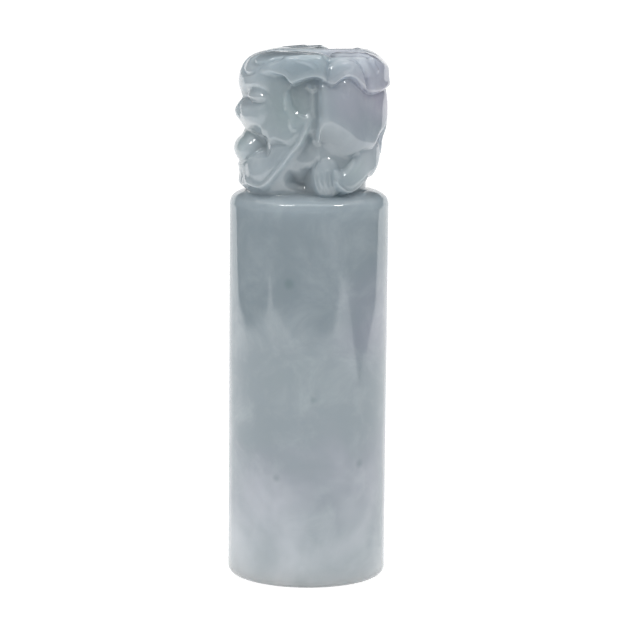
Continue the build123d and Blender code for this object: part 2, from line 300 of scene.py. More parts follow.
# The low and the high end of the step, how far each moves where the rim fades out towards the face, and
# where along the flank it does
STEP_ENDS = (-0.3, 0.2)
STEP_SPREAD = (-1.7, 1.1)
FADE_STRETCH = (-6.2, -3.2)


def carve_sides():
    """The depth of the carving round the knob, over arc length from the face and height."""
    arcs = np.linspace(0, math.pi * RADIUS, ARC_STEPS)
    relief = Relief(arcs, np.arange(-GRID_START, KNOB + OVERHANG, GRID_STEP), BETWEEN_DEPTH)
    head(relief)
    hind_quarters(relief)
    tail(relief)
    belly(relief)
    locks(relief)
    mane(relief)
    return relief


def head(relief):
    """The brow, the snout, the open mouth, the cheek and the jaw."""
    side_of_head = [
        (-8.6, 9.0), (-8.2, 8.7), (-7.1, 7.5), (-5.7, 7.1), (-5.2, 6.7), (-5.0, 5.6), (-3.9, 5.6),
        (-2.6, 5.8), (-1.3, 6.5), (-0.5, 8.1), (-0.2, 9.2), (-1.3, 9.5), (-2.2, 10.4), (-2.7, 12.1),
        (-2.4, 12.9), (-3.3, 13.7), (-5.0, 14.4), (-6.5, 15.2), (-8.6, 15.2),
    ]
    relief.swell(across_face(side_of_head), top=0.5, rim=0.95, width=1.1)
    snout = [
        (-8.6, 9.0), (-8.2, 8.9), (-7.1, 8.6), (-5.9, 8.3), (-5.2, 9.1), (-5.0, 10.2), (-5.7, 11.0),
        (-6.9, 11.3), (-8.0, 11.0), (-8.7, 10.8),
    ]
    relief.swell(across_face(snout), top=0.1, rim=0.55, width=1.3, drop=0.7, blend=0.35)
    brow = [
        (-8.7, 12.2), (-7.6, 12.0), (-6.4, 12.2), (-5.2, 12.2), (-4.8, 12.9), (-5.4, 13.7), (-7.0, 14.2),
        (-8.7, 14.4),
    ]
    relief.swell(across_face(brow), top=0.1, rim=0.5, width=1.0, drop=0.6, blend=0.4)
    eye = [
        (-7.8, 11.3), (-7.0, 11.9), (-6.0, 12.1), (-5.3, 11.7), (-5.1, 11.3), (-5.8, 10.9), (-7.0, 10.8),
    ]
    relief.swell(on_flank(eye), top=0.15, rim=0.6, width=0.6, drop=1.0, blend=0.2)
    upper_lid = [(-8.2, 11.8), (-7.1, 12.3), (-6.0, 12.45), (-5.1, 12.0), (-4.7, 11.2)]
    relief.ridge(on_flank(upper_lid), height=-0.16, width=0.18)
    lower_lid = [(-8.0, 10.8), (-7.0, 10.5), (-5.9, 10.6), (-5.0, 11.0)]
    relief.ridge(on_flank(lower_lid), height=-0.16, width=0.16)
    # The upper lip's bevel and the bevel under the cheek, which face down
    upper_lip = [(-5.3, 8.0), (-5.9, 8.35), (-7.2, 8.75), (-8.2, 8.9), (-8.9, 8.8)]
    relief.bevel(on_flank(upper_lip)[::-1], start=0.35, slope=0.9, reach=1.5)
    cheek_foot = [(-5.3, 6.7), (-4.4, 6.9), (-3.6, 6.85), (-2.3, 6.4), (-1.8, 6.2)]
    relief.bevel(on_flank(cheek_foot), start=0.5, slope=0.9, reach=1.1)
    # The jaw and its sharp lower edge
    jaw = [
        (-8.6, 3.4), (-7.8, 4.0), (-7.2, 4.5), (-6.0, 4.5), (-5.0, 4.8), (-4.4, 5.7), (-3.3, 6.0),
        (-1.9, 6.4), (-1.0, 7.4), (-0.5, 8.6), (-0.2, 9.3), (0.0, 8.8), (-0.6, 7.4), (-1.3, 6.2),
        (-2.2, 5.2), (-3.0, 4.1), (-4.6, 2.2), (-5.6, 1.4), (-6.5, 1.3), (-7.6, 1.5), (-8.6, 1.4),
    ]
    relief.swell(across_face(jaw), top=0.8, rim=0.75, width=0.5, drop=1.3)
    jaw_side = [
        (-7.6, 2.5), (-7.4, 3.9), (-6.2, 4.2), (-4.7, 4.4), (-3.6, 5.5), (-2.4, 5.8), (-3.0, 4.3),
        (-4.8, 2.3), (-6.2, 1.7), (-7.6, 1.8),
    ]
    relief.swell(on_flank(jaw_side), top=0.45, rim=0.75, width=1.3, drop=0.5, blend=0.35)
    jaw_edge = [
        (-8.2, 2.4), (-7.5, 1.8), (-6.5, 1.5), (-5.6, 1.55), (-4.6, 2.35), (-3.0, 4.2), (-2.2, 5.3),
        (-1.3, 6.35), (-0.7, 7.5), (-0.25, 8.7), (-0.3, 9.3),
    ]
    relief.ridge(on_flank(jaw_edge), height=0.35, width=0.28, taper=0.08)
    # The mouth and the tongue in it
    mouth = [
        (-8.7, 7.6), (-7.0, 7.5), (-6.0, 7.3), (-5.4, 6.5), (-5.2, 5.5), (-4.9, 4.6), (-6.2, 4.4),
        (-7.2, 4.3), (-8.7, 4.1),
    ]
    relief.sink(across_face(mouth), depth=2.3, width=1.6, blend=0.6)
    tongue = [
        (-4.4, 3.3), (-5.9, 5.0), (-4.8, 6.9), (0.0, 7.4), (4.8, 6.9), (5.9, 5.0), (4.4, 3.3), (0.0, 3.0),
    ]
    relief.swell(tongue, top=0.4, rim=2.0, width=2.2, drop=1.5, blend=0.6)
    relief.ridge([(0.0, 3.6), (0.0, 6.0)], height=-0.1, width=0.4)
    # The nostrils
    nostril = [(0.6, 9.4), (0.9, 9.9), (1.5, 10.0), (1.9, 9.6), (1.4, 9.2)]
    relief.sink(nostril, depth=1.0, width=0.5, blend=0.2)
    relief.ridge([(0.0, 8.9), (0.0, 7.9)], height=-0.2, width=0.2)


def hind_quarters(relief):
    """The haunch, the shin, and the paw with its toes."""
    haunch = [
        (1.3, 9.5), (1.3, 12.8), (2.7, 13.2), (4.4, 13.6), (6.1, 12.6), (7.9, 12.2), (8.95, 12.0),
        (8.95, 8.3), (8.2, 6.9), (7.6, 5.7), (6.4, 5.6), (5.0, 5.3), (3.5, 5.8), (2.1, 6.1), (1.2, 7.2),
    ]
    relief.swell(on_flank(haunch), top=0.1, rim=0.7, width=0.9, drop=1.6)
    haunch_foot = [(7.9, 6.1), (7.0, 6.3), (5.6, 6.7), (4.5, 7.6), (3.0, 8.6), (1.6, 9.0), (0.9, 9.0)]
    relief.bevel(on_flank(haunch_foot)[::-1], start=0.1, slope=0.55, reach=3.5)
    shin = [
        (5.0, 5.6), (6.4, 5.8), (8.4, 6.5), (8.8, 4.5), (8.2, 2.6), (7.3, 2.3), (6.1, 1.3), (4.7, 0.8),
        (3.2, 1.6), (3.1, 3.2), (4.4, 3.3), (5.4, 4.1), (5.8, 4.9),
    ]
    relief.swell(on_flank(shin), top=0.7, rim=1.2, width=0.9)
    paw = [
        (0.7, 2.8), (1.2, 4.1), (2.2, 4.7), (3.2, 4.4), (3.8, 3.3), (3.9, 2.0), (3.9, 0.9), (2.7, 0.5),
        (1.3, 0.9),
    ]
    relief.swell(on_flank(paw), top=0.95, rim=1.4, width=1.3, drop=1.8, blend=0.9)
    for shift in (0, 0.6, 1.2, 1.8):
        toe = on_flank([(1.0 + shift, 3.4 + 0.25 * shift), (1.2 + shift, 2.0), (2.0 + shift, 0.7)])
        relief.ridge(toe, height=-0.13, width=0.18)
    foot_edge = [(3.1, 2.9), (3.5, 1.8), (4.7, 1.0), (5.8, 1.2), (6.7, 1.9), (7.4, 2.8)]
    relief.ridge(on_flank(foot_edge), height=0.35, width=0.2)


def tail(relief):
    """The tail, laid up the middle of the rump, with its tuft."""
    near = [
        (28.3, 4.6), (27.5, 5.4), (27.4, 8.0), (27.2, 10.0), (26.7, 11.6), (26.6, 13.2), (27.2, 14.6),
        (28.3, 15.2),
    ]
    far = [(2 * BACK_ARC - arc, up) for arc, up in near[::-1][1:-1]]
    relief.swell(near + far, top=0.3, rim=0.8, width=0.8, drop=1.6)
    for strand in (
        [(28.25, 14.4), (28.2, 12.2), (28.25, 9.5)],
        [(27.5, 14.4), (27.45, 12.2), (27.8, 9.5)],
    ):
        relief.ridge(strand, height=-0.22, width=0.18)


def belly(relief):
    """The flat between the legs, the hollow under it, and the hollow before the shin."""
    loin = [(0.1, 9.0), (0.2, 12.8), (1.6, 12.8), (1.6, 6.6), (0.5, 6.6), (0.0, 8.0)]
    relief.swell(on_flank(loin), top=1.3, rim=1.5, width=0.3, blend=0.15)
    belly_flat = [
        (0.4, 7.1), (1.3, 6.3), (1.7, 5.2), (1.1, 4.3), (0.3, 3.7), (-0.5, 3.6), (-1.4, 3.6), (-2.0, 4.5),
        (-0.8, 5.8),
    ]
    relief.swell(on_flank(belly_flat), top=1.45, rim=1.8, width=0.7, blend=0.5)
    belly_hollow = [
        (-1.5, 3.5), (-0.2, 3.9), (0.7, 3.5), (0.6, 2.4), (0.6, 1.0), (-0.7, 0.2), (-2.4, 0.6),
        (-3.6, 1.9), (-2.8, 3.5),
    ]
    relief.sink(on_flank(belly_hollow), depth=3.0, width=1.8, blend=1.2)
    knee_hollow = [(1.4, 4.2), (1.4, 6.4), (3.6, 6.2), (5.8, 6.0), (6.0, 4.4), (5.0, 3.4), (3.4, 3.6)]
    relief.swell(on_flank(knee_hollow), top=1.45, rim=1.55, width=0.5, blend=0.5)


def locks(relief):
    """The recess behind the cheek, and the strands of the locks under the rim."""
    recess = [(-2.9, 8.2), (-2.9, 13.8), (0.8, 13.9), (0.9, 8.6), (-0.6, 7.4)]
    relief.swell(on_flank(recess), top=1.1, rim=1.25, width=1.2, lean=(0.05, 0.03), blend=0.8)
    first_lock = [(-2.75, 13.0), (-2.75, 12.1), (-2.6, 10.9), (-2.2, 9.6), (-1.7, 8.6)]
    relief.ridge(on_flank(first_lock), height=0.16, width=0.3)
    relief.ridge(on_flank([(-2.1, 12.8), (-2.0, 11.3), (-1.6, 10.3)]), height=0.1, width=0.22)
    for height, width, strand in (
        (0.2, 0.2, [(-2.95, 12.2), (-2.9, 11.0), (-2.7, 9.9)]),
        (0.2, 0.26, [(-2.4, 9.2), (-2.1, 8.4), (-1.7, 7.7)]),
        (0.16, 0.18, [(3.5, 12.4), (3.9, 11.8), (4.0, 11.2)]),
        (0.14, 0.16, [(4.6, 12.5), (4.35, 12.0), (4.4, 11.4)]),
    ):
        relief.ridge(on_flank(strand), height, width, taper=0.3)
    relief.ridge(on_flank([(0.4, 12.5), (0.35, 11.5), (0.4, 10.0), (0.4, 9.0)]), height=0.1, width=0.35)
    relief.ridge(on_flank([(-0.5, 12.9), (0.3, 12.3), (1.0, 12.8)]), height=0.3, width=0.22)


def mane_cap(relief):
    """The mane's lobes and curls, as a sheet of its own."""
    cap = Relief(relief.across[:, 0], relief.along[0], MANE_DEPTH)
    front_lobe = [
        (-5.9, 14.0), (-5.4, 14.8), (-3.1, 15.7), (-3.0, 17.5), (0.5, 17.5), (1.5, 15.8), (1.95, 15.0),
        (1.95, 13.4), (1.0, 13.2), (-0.7, 13.0), (-2.4, 12.6), (-3.8, 13.6),
    ]
    cap.swell(on_flank(front_lobe), top=0.05, rim=0.4, width=0.8)
    middle_curl = [
        (2.0, 14.4), (2.7, 15.2), (3.9, 15.6), (5.2, 15.3), (6.1, 14.3), (6.5, 12.4), (5.7, 12.5),
        (4.8, 13.0), (3.5, 13.0), (2.8, 12.5), (2.0, 13.0),
    ]
    cap.swell(on_flank(middle_curl), top=0.05, rim=0.45, width=0.7)
    rear_curl = [
        (5.8, 14.9), (5.5, 15.8), (5.9, 17.5), (8.0, 17.5), (8.9, 17.5), (8.95, 13.4), (8.95, 11.7),
        (7.8, 11.5), (6.6, 11.9), (6.5, 13.6),
    ]
    cap.swell(on_flank(rear_curl), top=0.0, rim=0.35, width=0.9)
    near = [
        (0.0, 17.5), (6.5, 17.5), (9.0, 17.5), (9.6, 16.0), (8.6, 14.8), (6.5, 14.5), (4.0, 14.6),
        (0.0, 14.8),
    ]
    far = [(-arc, up) for arc, up in near[::-1][:-1]]
    cap.swell(far + near, top=0.4, rim=0.6, width=0.8)
    near = [(25.0, 17.5), (25.2, 14.5), (25.6, 12.4), (27.0, 11.9), (28.3, 12.2)]
    far = [(2 * BACK_ARC - arc, up) for arc, up in near[::-1][1:]]
    cap.swell(near + far, top=0.1, rim=0.5, width=0.8)
    for strand in (
        [(-1.9, 15.9), (0.0, 15.3), (0.9, 14.4)],
        [(3.6, 14.0), (4.4, 14.4), (5.0, 14.9)],
        [(6.9, 15.9), (7.1, 14.9), (7.6, 14.0)],
        [(-7.0, 14.3), (-6.0, 13.6), (-5.2, 13.3)],
    ):
        cap.ridge(on_flank(strand), height=0.11, width=0.24)
    return cap


def mane(relief):
    """Lays the mane over the carving, down to its scalloped rim."""
    x = -RADIUS * np.cos(relief.across / RADIUS)
    above = relief.along - smooth_curve(x, MANE_RIM)
    there = ease(x, *RIM_STRETCH)
    cut = RIM_CUT * np.exp(-np.maximum(-above, 0) / RIM_CUT_REACH) * there
    under = smooth_max(relief.depth, cut, RIM_CORNER)
    bead = BEAD * there * np.exp(-(((above - BEAD_UP) / BEAD_WIDTH) ** 2))
    over = np.minimum(mane_cap(relief).depth - bead, under)
    fade = 1 - ease(x, *FADE_STRETCH)
    low, high = (end + spread * fade for end, spread in zip(STEP_ENDS, STEP_SPREAD))
    side = ease(above, low, high)
    relief.depth = under * (1 - side) + over * side


def carve_top():
    """The depth of the carving on the knob's flat end, over its width and breadth."""
    across = np.arange(-RADIUS - OVERHANG, RADIUS + OVERHANG, SHEET_STEP)
    top = Relief(across, np.arange(-OVERHANG, RADIUS + OVERHANG, SHEET_STEP), TOP_DEPTH)
    crest = [(-7.0, -2), (-7.0, 0.6), (0.0, 0.9), (8.9, 0.8), (8.9, -2)]
    top.swell(crest, top=0.0, rim=0.2, width=0.6)
    front_lobe = [
        (-7.2, 1.2), (-7.4, 3.4), (-5.5, 6.5), (-2.0, 9.0), (0.8, 9.2), (1.9, 8.0), (1.8, 5.0),
        (0.6, 2.4), (-2.0, 1.2),
    ]
    top.swell(front_lobe, top=0.1, rim=0.35, width=1.2)
    small_lobe = [(2.2, 8.8), (2.4, 6.6), (3.6, 5.6), (5.4, 5.8), (6.4, 6.6), (6.4, 9.5), (4.0, 9.5)]
    top.swell(small_lobe, top=0.4, rim=0.6, width=1.0)
    rear_lobe = [(3.0, 1.5), (2.6, 3.6), (4.4, 4.6), (6.6, 5.2), (7.0, 9.0), (9.5, 6.0), (9.5, 1.5)]
    top.swell(rear_lobe, top=0.15, rim=0.4, width=0.9)
    for strand in (
        [(-2.4, 3.0), (-0.6, 5.0), (0.8, 6.8), (1.4, 8.4)],
        [(-3.6, 4.0), (-1.8, 6.0), (-0.4, 8.0)],
        [(5.2, 2.6), (5.5, 5.0), (6.2, 6.8)],
        [(6.3, 2.4), (6.6, 4.6), (7.2, 6.0)],
    ):
        top.ridge(strand, height=0.09, width=0.3)
    return top


def carve_front():
    """The depth of the carving on the face, over the distance from its middle and the height."""
    heights = np.arange(-GRID_START, KNOB + OVERHANG, GRID_STEP)
    front = Relief(np.arange(-OVERHANG, RADIUS + OVERHANG, SHEET_STEP), heights, 0.0)
    # The hollows under the brows, and the eyes that bulge at the corners of the face
    brow_hollow = [
        (1.6, 11.0), (3.0, 11.9), (5.0, 12.5), (8.6, 12.6), (8.6, 10.2), (5.4, 10.1), (3.0, 10.3),
    ]
    front.sink(brow_hollow, depth=0.6, width=1.2, blend=0.4)
    eye = [(3.7, 11.2), (4.4, 11.9), (5.6, 12.1), (8.6, 12.1), (8.6, 10.7), (5.8, 10.6), (4.4, 10.7)]
    front.swell(eye, top=-0.1, rim=0.45, width=0.8, blend=0.2)
    front.ridge([(2.8, 11.1), (4.0, 12.1), (5.6, 12.5), (7.4, 12.4)], height=-0.16, width=0.2)
    # The nose, with its nostrils and the creases beside it
    nose_side = [(2.3, 7.8), (2.7, 9.0), (2.2, 10.0), (3.2, 9.8), (4.0, 9.2), (3.8, 8.2)]
    front.sink(nose_side, depth=0.35, width=0.9, blend=0.5)
    front.ridge([(0.9, 10.9), (1.9, 10.2), (2.6, 9.2), (2.4, 8.2)], height=-0.4, width=0.3)
    nostril = [(0.7, 8.4), (0.8, 9.0), (1.4, 9.2), (1.8, 8.8), (1.5, 8.3)]
    front.sink(nostril, depth=0.6, width=0.5, blend=0.3)
    front.ridge([(0.0, 8.6), (0.0, 7.2)], height=-0.35, width=0.25)
    # The furrow between the brows, and the mane's strands over them
    front.ridge([(0.0, 14.4), (0.0, 12.8), (0.0, 11.6)], height=-0.35, width=0.5)
    front.ridge([(1.0, 15.6), (2.2, 14.2), (4.2, 13.7), (6.4, 14.1)], height=-0.35, width=0.22)
    front.ridge([(2.8, 16.0), (3.8, 15.2), (5.6, 14.9), (7.0, 15.2)], height=-0.3, width=0.2)
    # The tuft under the chin
    for out in (0.0, 1.3, 2.6):
        front.ridge([(out, 3.3), (out * 1.08, 1.8), (out * 0.95, 0.5)], height=-0.13, width=0.3)
    return front


def look_up(relief, across, along):
    """A relief's depth at places between its own."""

    def index(values, places):
        return np.clip((places - values[0]) / (values[1] - values[0]), 0, len(values) - 1 - INSIDE_LAST)

    first = index(relief.across[:, 0], across)
    second = index(relief.along[0], along)
    i, j = first.astype(int), second.astype(int)
    s, t = first - i, second - j
    depth = relief.depth
    return (
        depth[i, j] * (1 - s) * (1 - t)
        + depth[i + 1, j] * s * (1 - t)
        + depth[i, j + 1] * (1 - s) * t
        + depth[i + 1, j + 1] * s * t
    )


# How far the face's line is let out, because the rounding beside it takes that much off
FACE_OUT = 0.4

# How far the face bows back, for each square millimetre to the side, and the rump's share of that
FACE_BOW = 0.042
RUMP_BOW = 0.3

# The roundings where the face and the crown meet the flanks, and where the other surfaces meet
SOFT_CORNER = 0.6
CORNER = 0.3

# The shoulder's slope: out from the axis, and up from the shoulder's height
SHOULDER_LINE = [
    (0.0, SHOULDER_RISE), (5.0, SHOULDER_RISE), (7.0, 0.5), (8.0, 0.2), (8.5, -0.1), (8.85, -0.5),
    (9.0, -0.9),
]


def stone_field():
    """The stone as a field over a grid: negative inside, positive outside."""
    sides = carve_sides()
    top = carve_top()
    front = carve_front()
    reach = RADIUS + GRID_MARGIN
    across = np.arange(-reach, reach, GRID_STEP)
    heights = sides.along[0]
    x, y = np.meshgrid(across, across, indexing="ij")
    radius = np.hypot(x, y)
    arc = RADIUS * np.arctan2(np.abs(y), -x)
    column = arc / (sides.across[1, 0] - sides.across[0, 0])
    low = np.clip(column.astype(int), 0, ARC_STEPS - 2)
    share = (column - low)[..., None]
    depth = sides.depth[low] * (1 - share) + sides.depth[low + 1] * share
    knob = radius[..., None] - (RADIUS - depth)
    bow = FACE_BOW * (y**2)[..., None]
    level = np.broadcast_to(heights, y.shape + heights.shape)
    face = look_up(front, np.broadcast_to(np.abs(y)[..., None], level.shape), level)
    past_face = -x[..., None] - smooth_curve(heights, FACE_LINE) - FACE_OUT + bow + face
    knob = smooth_max(knob, past_face, SOFT_CORNER)
    past_rump = x[..., None] - smooth_curve(heights, RUMP_LINE) + RUMP_BOW * bow
    knob = smooth_max(knob, past_rump, CORNER)
    crown = KNOB - look_up(top, x, np.abs(y))
    knob = smooth_max(knob, heights - crown[..., None], SOFT_CORNER)
    shoulder = smooth_curve(np.minimum(radius, RADIUS), SHOULDER_LINE)
    wall = (radius - RADIUS)[..., None] + 0 * heights
    barrel = smooth_max(wall, heights - shoulder[..., None], CORNER)
    field = smooth_min(knob, barrel, CORNER)
    return field, np.array([across[0], across[0], heights[0] + SHOULDER])


# The corners of a grid cell, and its edges as pairs of them
CORNERS = [(i, j, k) for i in (0, 1) for j in (0, 1) for k in (0, 1)]
EDGES = [
    (a, b)
    for a in CORNERS
    for b in CORNERS
    if sum(b) - sum(a) == 1 and all(q >= p for p, q in zip(a, b))
]


def surface_net(field, origin):
    """The surface between inside and outside as points and four-sided faces, and each point's cell."""
    inside = field < 0
    spans = [slice(None, -1), slice(1, None)]
    filled = sum(inside[spans[i], spans[j], spans[k]].astype(np.int8) for i, j, k in CORNERS)
    cells = np.array(np.nonzero((filled > 0) & (filled < len(CORNERS))))
    index = np.full(filled.shape, -1, dtype=np.int64)
    index[tuple(cells)] = np.arange(cells.shape[1])
    total = np.zeros(cells.shape)
    hits = np.zeros(cells.shape[1])
    for a, b in EDGES:
        at_a = field[cells[0] + a[0], cells[1] + a[1], cells[2] + a[2]]
        at_b = field[cells[0] + b[0], cells[1] + b[1], cells[2] + b[2]]
        crossed = (at_a < 0) != (at_b < 0)
        share = at_a[crossed] / (at_a[crossed] - at_b[crossed])
        for axis in range(3):
            total[axis, crossed] += a[axis] + share * (b[axis] - a[axis])
        hits += crossed
    points = ((cells + total / hits) * GRID_STEP).T + origin
    faces = []
    for axis in range(3):
        first, second = [n for n in range(3) if n != axis]
        here, there = [slice(None)] * 3, [slice(None)] * 3
        here[axis], there[axis] = spans
        spots = np.array(np.nonzero(inside[tuple(here)] != inside[tuple(there)]))
        keep = (spots[first] > 0) & (spots[second] > 0)
        keep &= (spots[first] < inside.shape[first] - 1) & (spots[second] < inside.shape[second] - 1)
        spots = spots[:, keep]
        quads = []
        for back_first, back_second in ((1, 1), (0, 1), (0, 0), (1, 0)):
            corner = spots.copy()
            corner[first] -= back_first
            corner[second] -= back_second
            quads.append(index[tuple(corner)])
        quads = np.array(quads).T
        turned = inside[tuple(spots)] == (axis == 1)
        quads[turned] = quads[turned][:, ::-1]
        faces.append(quads)
    return points, np.concatenate(faces), cells


def relax(points, faces):
    """Evens out the grid's stair steps by drawing each point towards its neighbours and back."""
    starts = faces.ravel()
    ends = np.roll(faces, -1, axis=1).ravel()
    count = np.bincount(starts, minlength=len(points)) + np.bincount(ends, minlength=len(points))
    for step in range(RELAX_TIMES):
        for push in (RELAX_DRAW, -RELAX_DRAW * RELAX_BACK):
            total = np.stack(
                [
                    np.bincount(starts, points[ends, axis], len(points))
                    + np.bincount(ends, points[starts, axis], len(points))
                    for axis in range(3)
                ],
                axis=1,
            )
            points = points + push * (total / count[:, None] - points)
    return points


def barrel_profile(foot_rounding, level):
    """The barrel from under the carving down to the pocket that the stamping face fills."""
    profile = [(RADIUS, level * share) for share in (0.8, 0.6, 0.4, 0.2)]
    for step in range(ROUNDING_STEPS + 1):
        turn = math.pi / 2 * step / ROUNDING_STEPS
        out = RADIUS - foot_rounding * (1 - math.cos(turn))
        profile.append((out, foot_rounding * (1 - math.sin(turn))))
    return profile + [(FACE_RADIUS, 0), (FACE_RADIUS, FACE_DEPTH)]


def carved_stone_mesh(foot_rounding):
    """The barrel and the beast as one closed surface."""
    field, origin = stone_field()
    points, faces, cells = surface_net(field, origin)
    points = relax(points, faces)
    # The lowest ring of points carries on down the barrel
    lowest = np.nonzero(cells[2] == 0)[0]
    bearings = np.arctan2(points[lowest, 1], points[lowest, 0])
    order = np.argsort(bearings)
    loop, bearings = lowest[order], bearings[order]
    level = origin[2]
    points[loop] = np.column_stack(
        [RADIUS * np.cos(bearings), RADIUS * np.sin(bearings), np.full(len(loop), level)]
    )
    rings = [loop]
    for out, height in barrel_profile(foot_rounding, level):
        rings.append(len(points) + np.arange(len(loop)))
        ring = [out * np.cos(bearings), out * np.sin(bearings), np.full(len(loop), height)]
        points = np.concatenate([points, np.column_stack(ring)])
    walls = [
        np.column_stack([upper, lower, np.roll(lower, -1), np.roll(upper, -1)])
        for upper, lower in zip(rings, rings[1:])
    ]
    sides = np.concatenate([faces, *walls]).tolist()
    mesh = bpy.data.meshes.new("carved_stone")
    mesh.from_pydata((points * MM).tolist(), [], sides + [rings[-1][::-1].tolist()])
    mesh.shade_smooth()
    return mesh


def add_node(tree, kind, inputs=None, **settings):
    """A shader node with its settings, and its inputs set or linked by name or place."""
    node = tree.nodes.new(kind)
    for name, value in settings.items():
        setattr(node, name, value)
    for key, value in (inputs or {}).items():
        if isinstance(value, bpy.types.NodeSocket):
            tree.links.new(value, node.inputs[key])
        else:
            node.inputs[key].default_value = value
    return node


def new_group(name, inputs, outputs):
    """An empty shader node group with named inputs and outputs, and its two end nodes."""
    tree = bpy.data.node_groups.new(name, "ShaderNodeTree")
    for label, kind, value in inputs:
        socket = tree.interface.new_socket(name=label, in_out="INPUT", socket_type=kind)
        if value is not None:
            socket.default_value = value
    for label, kind in outputs:
        tree.interface.new_socket(name=label, in_out="OUTPUT", socket_type=kind)
    return tree, tree.nodes.new("NodeGroupInput"), tree.nodes.new("NodeGroupOutput")


def maths(tree, operation, *inputs):
    """The result of a maths node."""
    return add_node(tree, "ShaderNodeMath", dict(enumerate(inputs)), operation=operation).outputs[0]


def place_in_stone(tree):
    """Where a point of the stone lies, in millimetres."""
    at = add_node(tree, "ShaderNodeTexCoord").outputs["Object"]
    return add_node(tree, "ShaderNodeVectorMath", {0: at, "Scale": 1 / MM}, operation="SCALE").outputs[0]


def noise(tree, place, scale, detail, distortion=0.0, roughness=0.5):
    """A noise over places."""
    inputs = {"Vector": place, "Scale": scale, "Detail": detail}
    inputs.update({"Distortion": distortion, "Roughness": roughness})
    return add_node(tree, "ShaderNodeTexNoise", inputs).outputs[0]


def soft_step(tree, value, low, high, top=1.0):
    """0 at low, a top value at high, and an even curve between."""
    inputs = {"Value": value, "From Min": low, "From Max": high, "To Max": top}
    return add_node(tree, "ShaderNodeMapRange", inputs, interpolation_type="SMOOTHSTEP").outputs["Result"]


# The shares of a patch's reach where its colour is still full, and where it ends
PATCH_CORE = 0.5
PATCH_END = 1.4


def patch_mask(tree, place, centre, reach, rough):
    """1 inside a soft ball of colour round a place in millimetres, 0 outside, with a ragged edge."""
    away = add_node(tree, "ShaderNodeVectorMath", {0: place, 1: centre}, operation="DISTANCE")
    ragged = maths(tree, "MULTIPLY_ADD", rough, reach, away.outputs["Value"])
    return soft_step(tree, ragged, reach * PATCH_END, reach * PATCH_CORE)


# Where the stone's colours and a painted glow of floor light lie, in millimetres: a middle, a reach and a
# share
LAVENDER_PATCHES = [
    ((6.5, -3.0, 55.0), 10.0, 0.9),
    ((0.0, 0.0, 10.0), 15.0, 1.0),
    ((6.0, -4.0, 30.0), 9.0, 0.5),
]
GREEN_PATCHES = [
    ((-2.5, -6.0, 53.5), 6.0, 0.8),
    ((-7.0, -2.0, 50.0), 5.0, 0.6),
    ((5.0, -6.0, 47.0), 3.0, 0.5),
    ((0.0, -4.0, 24.0), 8.0, 0.3),
]
# The pale patches: the first two are painted light, the glow that the white floor throws up the lower
# stick, full at the foot and fading upwards; the others lighten the front of the knob, the hind foot and
# the snout
PALE_PATCHES_WITH_PAINTED_GLOW = [
    ((0.0, 0.0, -4.0), 26.0, 0.5),
    ((0.0, 0.0, -1.0), 19.5, 1.0),
    ((-1.0, -4.0, 50.0), 15.0, 0.2),
    ((6.5, -5.5, 47.0), 5.0, 0.5),
    ((-7.5, -4.0, 54.0), 8.0, 0.35),
]

# The fine cotton's range in its noise and its greatest share
COTTON_RANGE = (0.4, 0.8)
COTTON_SHARE = 0.3

# The share of the dark specks, and each one's middle and reach
SPECK_SHARE = 0.42
SPECKS = [
    ((-2.1, -8.7, 34.6), 0.9),
    ((0.6, -8.9, 21.6), 0.7),
    ((5.9, -6.8, 14.0), 0.8),
    ((-3.4, -8.3, 12.6), 0.8),
    ((-6.0, 6.4, 38.0), 0.8),
    ((4.0, 8.0, 26.0), 0.9),
]

# The colours that the clouds and the painted glow on the lower stick are mixed from
STONE_COLOURS = ("Ground", "Lavender", "Green", "Cotton", "Speck")


def jade_colour_group():
    """The clouds of colour that run through the stone, and the painted glow of floor light on the lower
    stick.
    """
    tree, given, made = new_group(
        "jade_clouds_and_glow",
        [(label, "NodeSocketColor", None) for label in STONE_COLOURS],
        [("Color", "NodeSocketColor")],
    )
    place = place_in_stone(tree)

    def mixed(share, first, second):
        # The mix node's colour sockets are its inputs 6 and 7 and its output 2
        mix = add_node(tree, "ShaderNodeMix", {0: share, 6: first, 7: second}, data_type="RGBA")
        return mix.outputs[2]

    broad = noise(tree, place, scale=0.11, detail=3, distortion=0.4)
    colour = given.outputs["Ground"]
    # The pale patches include painted light: the glow of the floor on the lower stick
    clouds_and_glow = {"Lavender": LAVENDER_PATCHES, "Green": GREEN_PATCHES, "Cotton": PALE_PATCHES_WITH_PAINTED_GLOW}
    for name, patches in clouds_and_glow.items():
        for centre, reach, share in patches:
            mask = patch_mask(tree, place, centre, reach, broad)
            colour = mixed(maths(tree, "MULTIPLY", mask, share), colour, given.outputs[name])
    fine = noise(tree, place, scale=0.2, detail=6, distortion=0.5, roughness=0.6)
    cotton = soft_step(tree, fine, *COTTON_RANGE, top=COTTON_SHARE)
    colour = mixed(cotton, colour, given.outputs["Cotton"])
    for centre, reach in SPECKS:
        mask = patch_mask(tree, place, centre, reach, fine)
        colour = mixed(maths(tree, "MULTIPLY", mask, SPECK_SHARE), colour, given.outputs["Speck"])
    tree.links.new(colour, made.inputs["Color"])
    return tree


# How often the marks of the finish come in a millimetre, in x, y and z: long waves up the stick, and the
# scratches of the ground face
WAVE_RATES = (0.3, 0.3, 0.07)
SCRATCH_RATES = (0.4, 14.0, 1.0)


